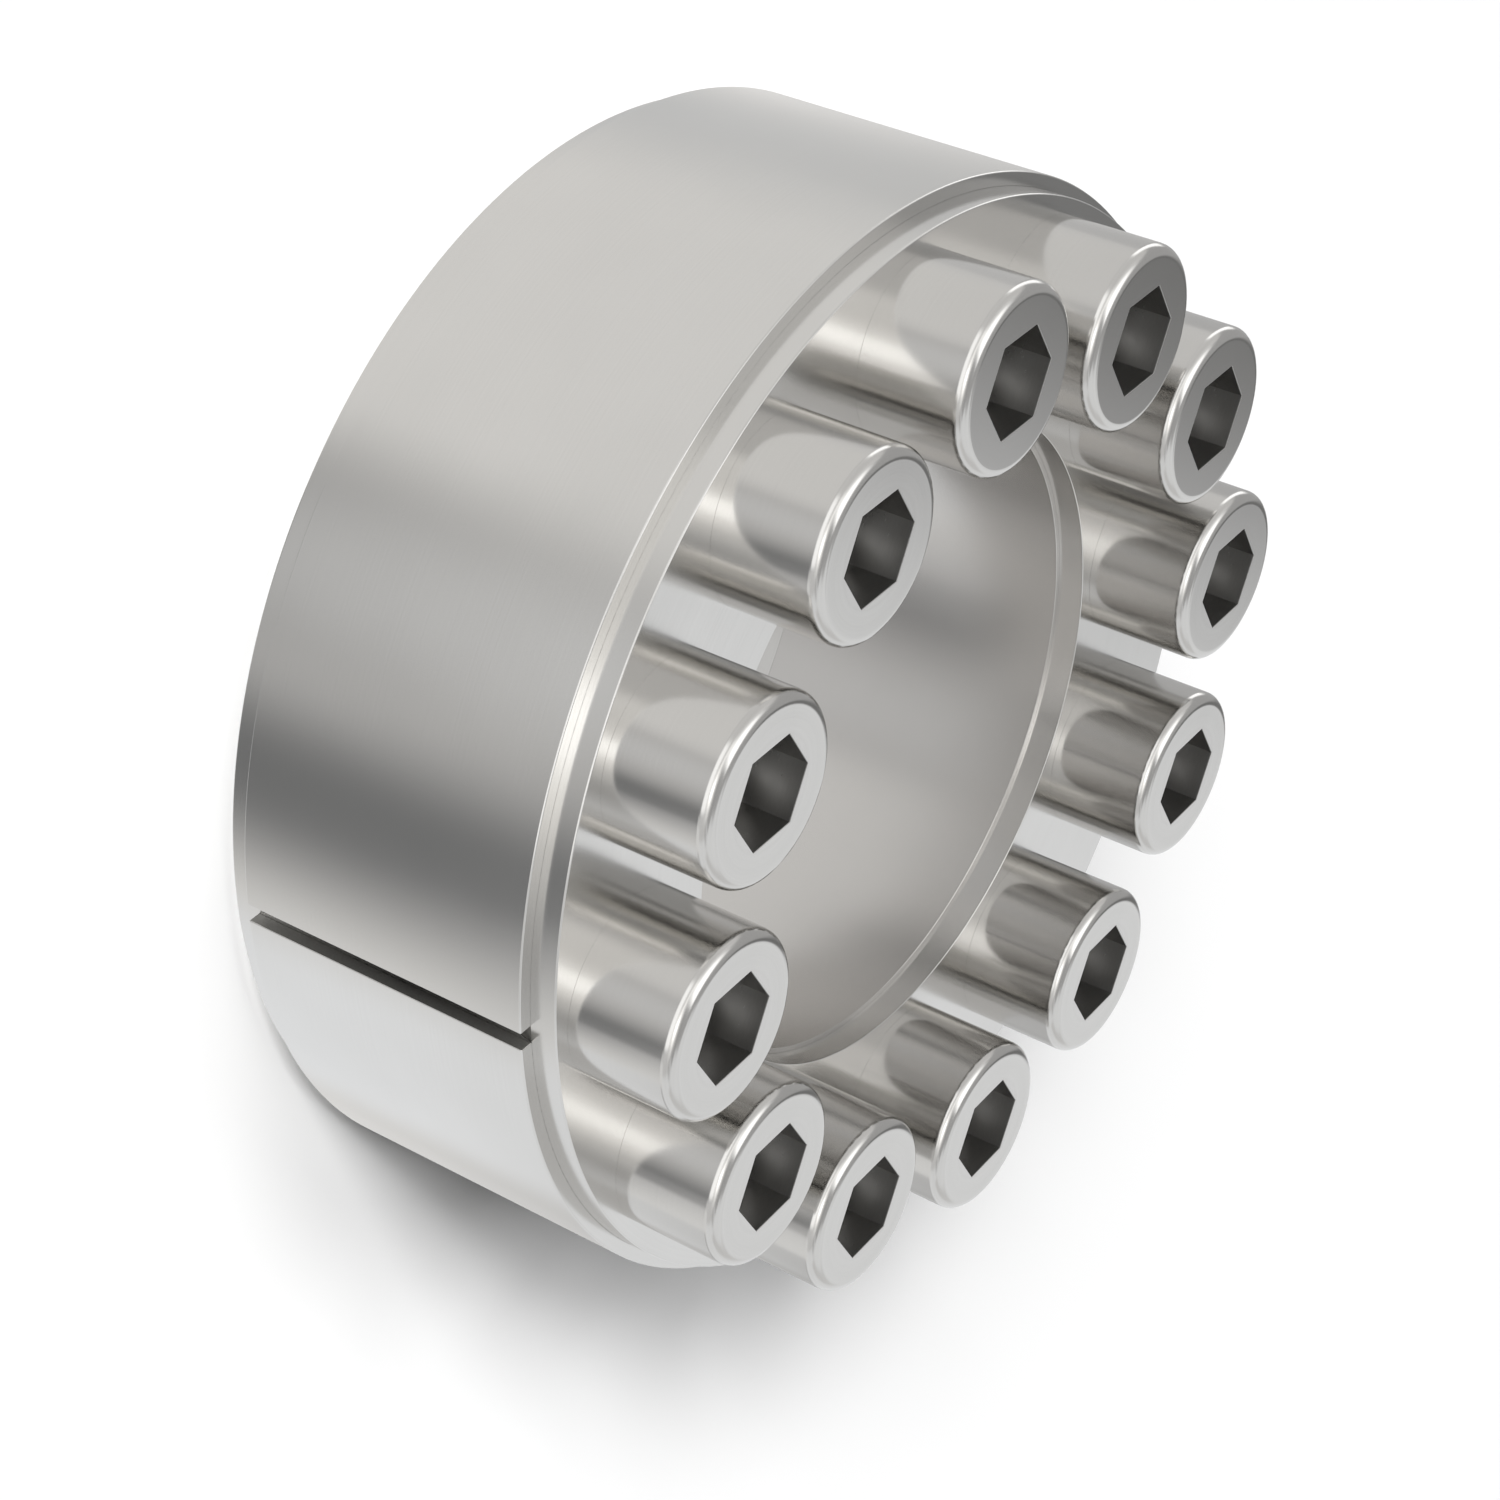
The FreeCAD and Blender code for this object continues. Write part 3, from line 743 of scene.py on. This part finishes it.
def finish_named(context, name):
    """One of the steel finishes, made when it is first asked for."""
    look = context.scene.steel_look
    looks = {"polished_steel": (look.tone, look.worn_tone, look.polish, look.dull),
             "screw_steel": (look.screw_tone, look.screw_tone_worn, look.polish, look.dull),
             # The inner ring's finish: honed roughness, and a darker colour that paints the shade inside the
             # bore.
             "honed_bore_painted_shade": (look.bore_tone, look.bore_tone_worn, look.bore_polish, look.bore_dull),
             # The socket's finish is darker steel that paints the shade in the socket.
             "broached_socket_painted_shade": (look.socket_painted_shade, look.socket_painted_shade_streaked, look.socket_polish,
                                 look.socket_dull),
             # The slit walls' finish is darker steel that paints the shade in the slit.
             "sawn_slit_painted_shade": (look.slit_painted_shade, look.slit_painted_shade_marked, look.sawn_polish, look.sawn_dull)}
    return bpy.data.materials.get(name) or steel(name, look, *looks[name])


def soft_lamp(name, around, up, spread, power):
    """A far, soft lamp in a direction given in degrees round from +X and up, that the steel doesn't mirror.

    Its power is what it gives a level floor: the strength across its beam is that over the sine of its
    height.
    """
    lamp = bpy.data.lights.new(name, "SUN")
    lamp.energy, lamp.angle = power / math.sin(math.radians(up)), math.radians(spread)
    holder = bpy.data.objects.new(name, lamp)
    bpy.context.scene.collection.objects.link(holder)
    holder.rotation_euler = 0, math.radians(90 - up), math.radians(around)
    holder.visible_glossy = False
    return holder


def add_floor(light):
    """A pale matt floor in the plane that the part stands on."""
    mesh = bpy.data.meshes.new("floor")
    corners = [(-FLOOR_HALF, -FLOOR_HALF, 0), (FLOOR_HALF, -FLOOR_HALF, 0), (FLOOR_HALF, FLOOR_HALF, 0),
               (-FLOOR_HALF, FLOOR_HALF, 0)]
    mesh.from_pydata(corners, [], [(0, 1, 2, 3)])
    floor = bpy.data.objects.new("floor", mesh)
    bpy.context.scene.collection.objects.link(floor)
    floor.visible_glossy = False
    material = bpy.data.materials.new("pale_floor")
    material.use_nodes = True
    tree = material.node_tree
    tree.nodes.clear()
    matt = tree.nodes.new("ShaderNodeBsdfDiffuse")
    matt.inputs["Color"].default_value = (*light.floor_tone, 1)
    tree.links.new(matt.outputs[0], tree.nodes.new("ShaderNodeOutputMaterial").inputs["Surface"])
    mesh.materials.append(material)


def studio_world(light):
    """White for the camera, the room for what the steel mirrors, and a plain fill for the rest."""
    world = bpy.data.worlds.new("studio")
    world.use_nodes = True
    tree = world.node_tree
    tree.nodes.clear()
    path = tree.nodes.new("ShaderNodeLightPath")
    level = tree.nodes.new("ShaderNodeMapRange")
    level.inputs["To Min"].default_value, level.inputs["To Max"].default_value = light.fill, 1.0
    tree.links.new(path.outputs["Is Camera Ray"], level.inputs["Value"])
    plain, mirror = tree.nodes.new("ShaderNodeBackground"), tree.nodes.new("ShaderNodeBackground")
    plain.inputs["Color"].default_value = (1, 1, 1, 1)
    tree.links.new(level.outputs[0], plain.inputs["Strength"])
    surroundings(tree, mirror)
    pick = tree.nodes.new("ShaderNodeMixShader")
    sources = path.outputs["Is Glossy Ray"], plain.outputs[0], mirror.outputs[0]
    for source, socket in zip(sources, pick.inputs):
        tree.links.new(source, socket)
    tree.links.new(pick.outputs[0], tree.nodes.new("ShaderNodeOutputWorld").inputs["Surface"])
    return world


def add_camera(light):
    """The camera that took the photograph, solved from the sockets' corners and the rings' edges in it."""
    lens = bpy.data.cameras.new("camera")
    lens.lens, lens.sensor_width = light.lens, 36.0
    lens.clip_start, lens.clip_end = 0.01, 20
    camera = bpy.data.objects.new("camera", lens)
    bpy.context.scene.collection.objects.link(camera)
    camera.location, camera.rotation_euler = light.camera_place, light.camera_turn
    return camera


# Operators


class LOCKING_OT_outer_ring(Operator):
    """Makes the slit outer ring"""

    bl_idname = "locking.outer_ring"
    bl_label = "Outer ring"

    def execute(self, context):
        s = context.scene.ring_sizes
        mouth = s.outer_radius - s.mouth_wall
        corners = [(s.outer_radius, RING_LOW), (s.outer_radius, RING_HIGH - s.bevel_rise),
                   (s.outer_radius - s.bevel_width, RING_HIGH), (mouth, RING_HIGH),
                   (s.land_radius, NOSE_LOW), (s.land_radius, REAR_TOP), (mouth, RING_LOW)]
        radii = [s.edge] * 3 + [s.lip / 4, s.lip, s.lip, s.lip / 4]
        piece = slit_ring("outer_ring_steel", corners, radii, s.slit, s.lip, 12 * s.columns)
        # The slit walls take the darker steel that paints the shade in the slit.
        dress(piece, "outer_ring", "outer", "outer_ring", finish_named(context, "polished_steel"),
              finish_named(context, "sawn_slit_painted_shade"))
        return {"FINISHED"}


class LOCKING_OT_inner_ring(Operator):
    """Makes the slit inner ring"""

    bl_idname = "locking.inner_ring"
    bl_label = "Inner ring"

    def execute(self, context):
        s = context.scene.ring_sizes
        mouth = s.bore_radius + s.inner_mouth_wall
        land = mouth + s.taper_run
        corners = [(mouth, RING_LOW), (land, REAR_TOP), (land, NOSE_LOW), (mouth, RING_HIGH),
                   (s.bore_radius, RING_HIGH), (s.bore_radius, RING_LOW)]
        radii = [s.lip / 4, s.lip, s.lip, s.lip / 4, s.lip, s.lip]
        piece = slit_ring("inner_ring_steel", corners, radii, s.slit, s.lip, 12 * s.columns)
        # The inner ring takes the honed steel whose darker colour paints the shade inside the bore.
        # The slit walls take the darker steel that paints the shade in the slit.
        dress(piece, "inner_ring", "inner", "inner_ring", finish_named(context, "honed_bore_painted_shade"),
              finish_named(context, "sawn_slit_painted_shade"))
        return {"FINISHED"}


class LOCKING_OT_thrust_rings(Operator):
    """Makes the front thrust ring with its clearance holes and the rear one with its threaded holes"""

    bl_idname = "locking.thrust_rings"
    bl_label = "Thrust rings"

    def execute(self, context):
        s, screw = context.scene.ring_sizes, context.scene.screw_sizes
        finishes = [finish_named(context, "polished_steel")]
        mouth = s.hole_radius + s.lip
        sheets, holes = thrust_ring_sheets(s, mouth, mouth)
        wall = np.array([(mouth, FACE_Z), (s.hole_radius, FACE_Z - s.lip), (s.hole_radius, NOSE_LOW + s.lip),
                         (mouth, NOSE_LOW)])
        wall_facing = np.array([(-1, 1), (-1, 0), (-1, 0), (-1, -1)]) / np.sqrt([[2], [1], [1], [2]])
        sheets += [turned(wall, wall_facing, angles, axis) for axis, angles in holes]
        add_piece("front_thrust_ring", sheets, "front_ring", "front_thrust_ring", finishes)
        crest = screw.thread_radius + screw.play
        mouth, nose_mouth = crest + s.countersink, crest + s.nose_bevel
        root = screw.thread_radius - THREAD_BITE * screw.pitch
        sheets, holes = thrust_ring_sheets(s, mouth, nose_mouth)
        sheets = mirrored(sheets, FACE_Z)
        for axis, angles in holes:
            sheets.append(threaded(
                axis, angles, 0.0, REAR_TOP, screw.pitch,
                lambda share: crest - screw.pitch * thread_depth(share),
                lambda height: np.maximum(root, np.maximum(mouth - height, nose_mouth - (REAR_TOP - height))),
                lambda height: mouth + 0 * height, -1))
        add_piece("rear_thrust_ring", sheets, "rear_ring", "rear_thrust_ring", finishes)
        return {"FINISHED"}


class LOCKING_OT_screws(Operator):
    """Makes the twelve socket head cap screws"""

    bl_idname = "locking.screws"
    bl_label = "Screws"

    def execute(self, context):
        # The socket takes the darker steel that paints the shade in it.
        finishes = [finish_named(context, "screw_steel"), finish_named(context, "broached_socket_painted_shade")]
        for name in SCREWS:
            low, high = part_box(name)
            centre = ((low.x + high.x) / 2, (low.y + high.y) / 2)
            sheets, socket = screw_sheets(context.scene.screw_sizes, centre)
            add_piece(name, sheets, name, "screw", finishes, centre, socket)
        return {"FINISHED"}


class LOCKING_OT_studio(Operator):
    """Sets the floor, the soft lamps, the room that the steel mirrors and the camera"""

    bl_idname = "locking.studio"
    bl_label = "Studio"

    def execute(self, context):
        light = context.scene.studio_light
        add_floor(light)
        for name, around, up, spread, share in LAMPS:
            soft_lamp(name, around, up, spread, share * light.lamp_level)
        context.scene.world = studio_world(light)
        context.scene.camera = add_camera(light)
        context.scene.view_settings.view_transform = "Standard"
        return {"FINISHED"}


class LOCKING_PT_panel(Panel):
    """Shows one button for each piece or group of pieces"""

    bl_label = "Locking assembly"
    bl_idname = "LOCKING_PT_panel"
    bl_space_type = "VIEW_3D"
    bl_region_type = "UI"
    bl_category = "Locking assembly"

    def draw(self, context):
        """One button for each piece or group of pieces."""
        for operator in OPERATORS:
            self.layout.operator(operator.bl_idname)


OPERATORS = [LOCKING_OT_outer_ring, LOCKING_OT_inner_ring, LOCKING_OT_thrust_rings, LOCKING_OT_screws,
             LOCKING_OT_studio]
GROUPS = {"ring_sizes": RingSizes, "screw_sizes": ScrewSizes, "steel_look": SteelLook,
          "studio_light": StudioLight}


def register():
    """Adds the sizes to the scene, and the operators and the panel to Blender."""
    for name, group in GROUPS.items():
        bpy.utils.register_class(group)
        setattr(bpy.types.Scene, name, PointerProperty(type=group))
    for shown in OPERATORS + [LOCKING_PT_panel]:
        bpy.utils.register_class(shown)


def unregister():
    """Takes them away again."""
    for shown in reversed(OPERATORS + [LOCKING_PT_panel]):
        bpy.utils.unregister_class(shown)
    for name, group in GROUPS.items():
        delattr(bpy.types.Scene, name)
        bpy.utils.unregister_class(group)


def main():
    """Makes every piece and the studio."""
    register()
    bpy.ops.locking.outer_ring()
    bpy.ops.locking.inner_ring()
    bpy.ops.locking.thrust_rings()
    bpy.ops.locking.screws()
    bpy.ops.locking.studio()


if __name__ == "__main__":
    main()
